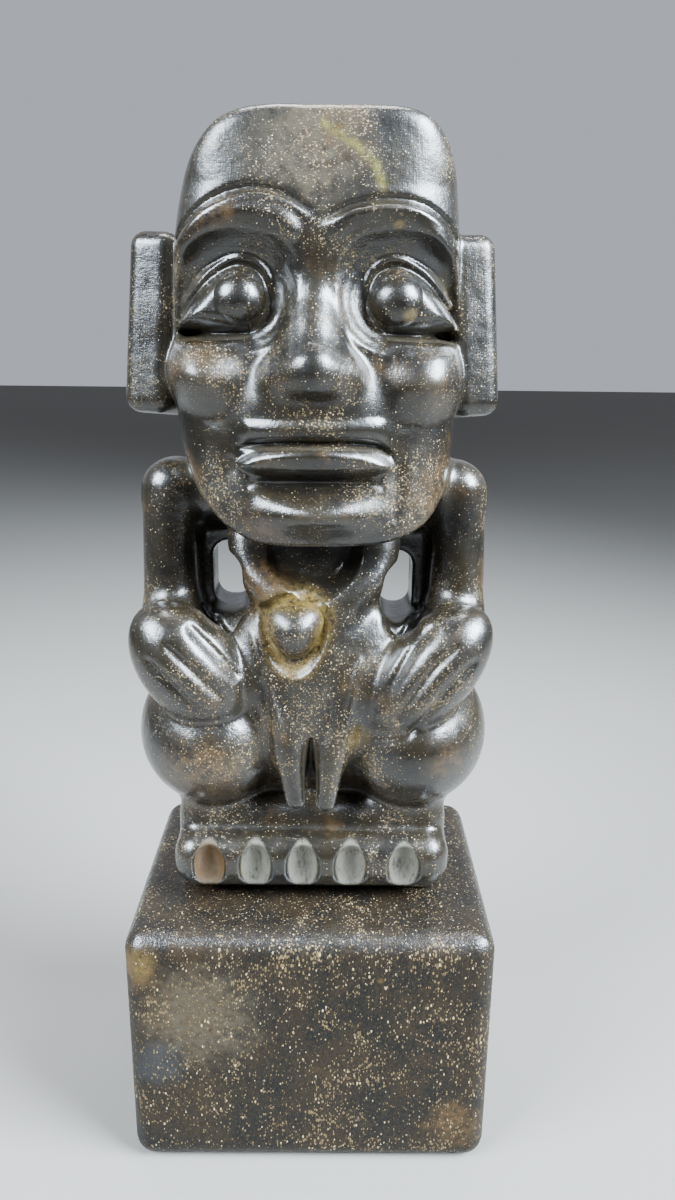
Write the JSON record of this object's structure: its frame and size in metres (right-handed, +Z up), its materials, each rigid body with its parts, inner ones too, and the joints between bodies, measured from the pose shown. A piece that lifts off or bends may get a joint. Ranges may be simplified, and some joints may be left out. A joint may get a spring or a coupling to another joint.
{
  "type": "carved stone figurine",
  "caption": "Squatting idol figurine of dark speckled stone on a square plinth, standing free as an ornament.",
  "frame": {"origin": "middle of the plinth's underside", "axes": "+Z up along the figure's height; -Y is the way the figure faces; +X is the figure's own left"},
  "size_m": [0.074, 0.057, 0.2058],
  "materials": {
    "plinth_stone": "satin, speckled with pale crystals",
    "polished_stone": "hand-polished, mottled brown and grey with fine pale specks"
  },
  "bodies": {
    "root": {"plinth": "plinth_stone", "feet": "polished_stone", "toe_roll": "polished_stone", "left_haunch": "polished_stone", "right_haunch": "polished_stone", "pelvis": "polished_stone", "left_loincloth_end": "polished_stone", "right_loincloth_end": "polished_stone", "belly": "polished_stone", "chest_boss": "polished_stone", "left_forearm": "polished_stone", "right_forearm": "polished_stone", "left_arm": "polished_stone", "right_arm": "polished_stone", "chest": "polished_stone", "head": "polished_stone", "left_eye": "polished_stone", "right_eye": "polished_stone", "left_ear": "polished_stone", "right_ear": "polished_stone"}
  },
  "joints": []
}
